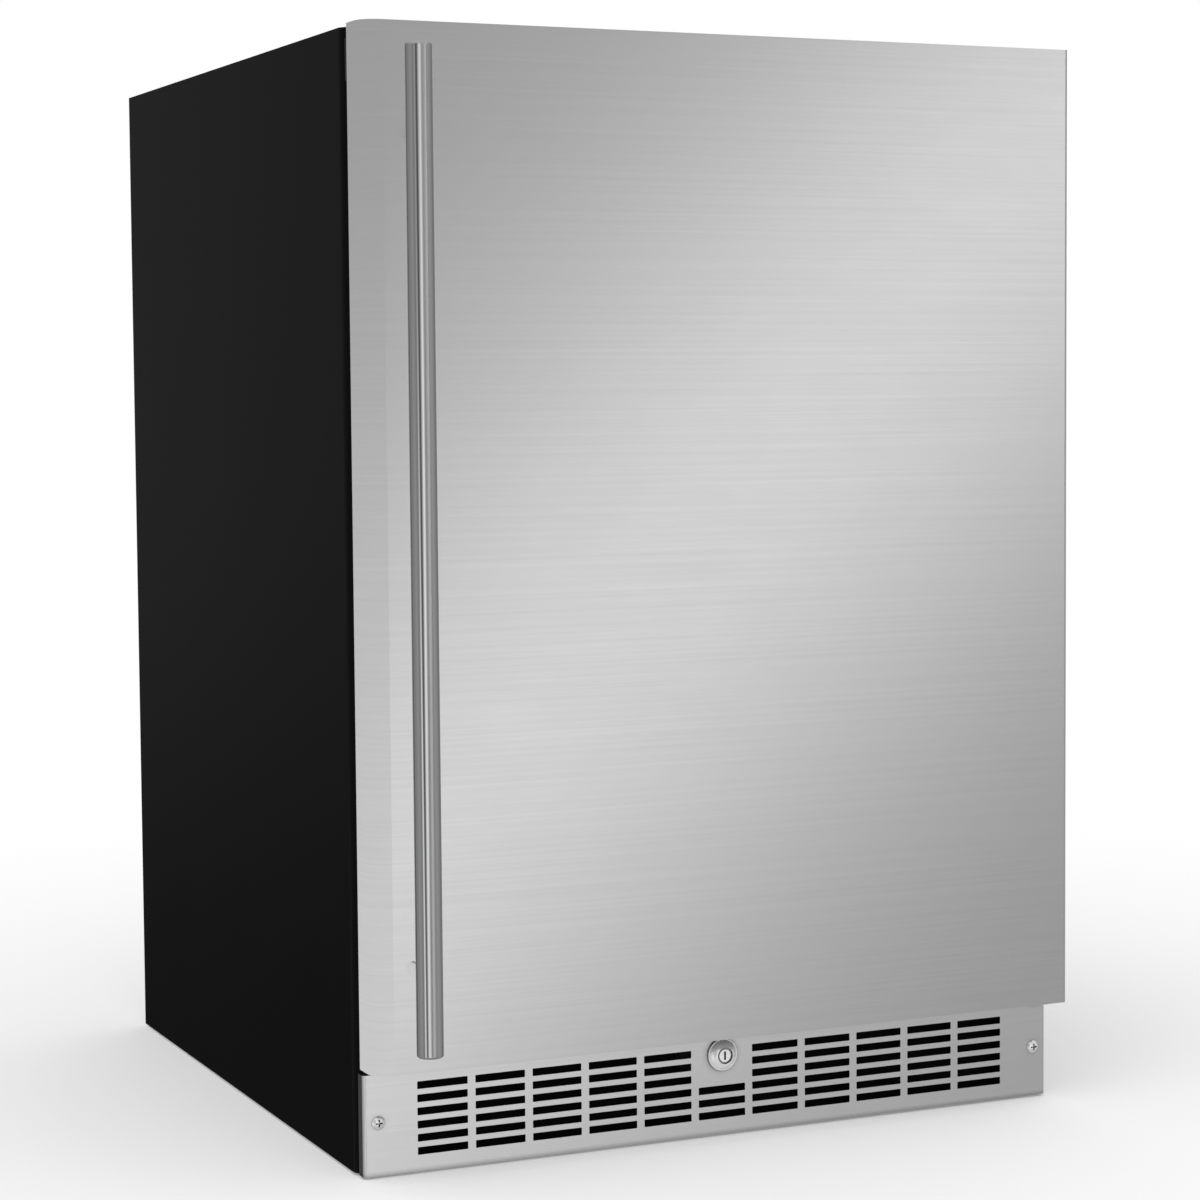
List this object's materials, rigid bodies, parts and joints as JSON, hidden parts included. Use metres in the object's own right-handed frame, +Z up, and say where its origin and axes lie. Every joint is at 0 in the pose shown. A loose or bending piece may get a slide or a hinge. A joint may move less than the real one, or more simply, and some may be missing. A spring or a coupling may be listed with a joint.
{
  "type": "undercounter refrigerator",
  "caption": "Built-in undercounter refrigerator with a right-hinged brushed steel door, full-height bar handle, black cabinet and front-vented, lockable toe grille.",
  "frame": {"origin": "on the floor, at the middle of the overall footprint (handle front to cabinet back)", "axes": "+Z up, front of the refrigerator faces -Y, +X to the right when facing it; the door is hinged at +X"},
  "size_m": [0.605, 0.674, 0.862],
  "materials": {
    "brushed_stainless": "fine horizontal brushing, satin",
    "black_paint": "satin black powder coat",
    "galvanised_steel": "zinc-coated sheet, dull spangle",
    "insulation": "rigid polyurethane foam",
    "white_plastic": "white vacuum-formed and moulded plastic",
    "black_plastic": "moulded, lightly textured",
    "zinc_steel": "zinc-plated steel",
    "polished_metal": "polished nickel plate",
    "black_rubber": "soft matte rubber",
    "compressor_enamel": "black enamel",
    "fin_aluminium": "mill finish",
    "copper": "drawn copper tube",
    "shelf_glass": "clear tempered glass",
    "clear_plastic": "clear moulded polystyrene",
    "pale_plastic": "unpainted moulded plastic"
  },
  "bodies": {
    "cabinet": {"outer_wrap": "black_paint", "back_panel": "galvanised_steel", "cabinet_foam": "insulation", "inner_liner": "white_plastic", "front_sill": "black_paint", "base_pan": "black_paint", "toe_grille": "brushed_stainless", "grille_spacers": "black_plastic", "grille_screws": "zinc_steel", "lock_body": "polished_metal", "upper_hinge": "zinc_steel", "lower_hinge": "zinc_steel", "hinge_pins": "zinc_steel", "hinge_screws": "zinc_steel", "hinge_hole_cover": "black_plastic", "compressor": "compressor_enamel", "compressor_grommets": "black_rubber", "terminal_cover": "black_plastic", "condenser_fins": "fin_aluminium", "condenser_tube": "copper", "fan_shroud": "black_plastic", "fan_motor": "black_plastic", "filter_drier": "copper", "refrigerant_tubes": "copper", "evaporator": "fin_aluminium", "drip_pan": "black_plastic", "drain_tube": "pale_plastic", "control_housing": "white_plastic", "lamp_lens": "clear_plastic", "thermostat": "black_plastic", "door_switch": "black_plastic", "rear_cover": "galvanised_steel", "power_cord": "black_rubber", "air_divider": "pale_plastic", "crisper_cover": "shelf_glass"},
    "door": {"door_skin": "brushed_stainless", "door_foam": "insulation", "door_liner": "white_plastic", "door_gasket": "black_rubber", "door_end_caps": "black_plastic", "hinge_bushes": "white_plastic", "handle_tube": "brushed_stainless", "handle_posts": "brushed_stainless", "lock_strike": "zinc_steel"},
    "lock": {"lock_plug": "polished_metal", "lock_cam": "zinc_steel"},
    "fan": {"fan_blade": "pale_plastic"},
    "knob": {"thermostat_knob": "white_plastic"},
    "plunger": {"switch_plunger": "white_plastic"},
    "upper_shelf": {"upper_shelf_glass": "shelf_glass", "upper_shelf_frame": "white_plastic"},
    "lower_shelf": {"lower_shelf_glass": "shelf_glass", "lower_shelf_frame": "white_plastic"},
    "drawer": {"crisper_drawer": "clear_plastic"},
    "upper_door_bin": {"upper_bin": "clear_plastic"},
    "lower_door_bin": {"lower_bin": "clear_plastic"},
    "foot_fl": {"foot_front_left": "black_plastic"},
    "foot_fr": {"foot_front_right": "black_plastic"},
    "foot_rl": {"foot_rear_left": "black_plastic"},
    "foot_rr": {"foot_rear_right": "black_plastic"}
  },
  "joints": [
    {"name": "door_hinge", "type": "hinge", "parent": "cabinet", "child": "door", "pos_m": [0.292, -0.2695, 0.47], "axis": [0, 0, 1], "range_deg": [0, 110]},
    {"name": "switch_travel", "type": "slide", "parent": "cabinet", "child": "plunger", "axis": [0, -1, 0], "range_m": [0, 0.004]},
    {"name": "lock_turn", "type": "hinge", "parent": "cabinet", "child": "lock", "pos_m": [0, -0.263, 0.0656], "axis": [0, 1, 0], "range_deg": [0, 90]},
    {"name": "fan_spin", "type": "hinge", "parent": "cabinet", "child": "fan", "pos_m": [0.15, 0.229, 0.102], "axis": [1, 0, 0], "continuous": true},
    {"name": "knob_turn", "type": "hinge", "parent": "cabinet", "child": "knob", "pos_m": [0.105, -0.239, 0.7995], "axis": [0, -1, 0], "range_deg": [0, 270]},
    {"name": "upper_shelf_slide", "type": "slide", "parent": "cabinet", "child": "upper_shelf", "axis": [0, -1, 0], "range_m": [0, 0.01]},
    {"name": "lower_shelf_slide", "type": "slide", "parent": "cabinet", "child": "lower_shelf", "axis": [0, -1, 0], "range_m": [0, 0.01]},
    {"name": "drawer_slide", "type": "slide", "parent": "cabinet", "child": "drawer", "axis": [0, -1, 0], "range_m": [0, 0.055]},
    {"name": "upper_bin_lift", "type": "slide", "parent": "door", "child": "upper_door_bin", "axis": [0, 0, 1], "range_m": [0, 0.018]},
    {"name": "lower_bin_lift", "type": "slide", "parent": "door", "child": "lower_door_bin", "axis": [0, 0, 1], "range_m": [0, 0.018]},
    {"name": "foot_front_left_level", "type": "slide", "parent": "cabinet", "child": "foot_fl", "axis": [0, 0, -1], "range_m": [0, 0.02]},
    {"name": "foot_front_right_level", "type": "slide", "parent": "cabinet", "child": "foot_fr", "axis": [0, 0, -1], "range_m": [0, 0.02]},
    {"name": "foot_rear_left_level", "type": "slide", "parent": "cabinet", "child": "foot_rl", "axis": [0, 0, -1], "range_m": [0, 0.02]},
    {"name": "foot_rear_right_level", "type": "slide", "parent": "cabinet", "child": "foot_rr", "axis": [0, 0, -1], "range_m": [0, 0.02]}
  ],
  "couplings": [
    {"joint": "switch_travel", "follows": "door_hinge", "m_per_rad": 0.00208}
  ]
}
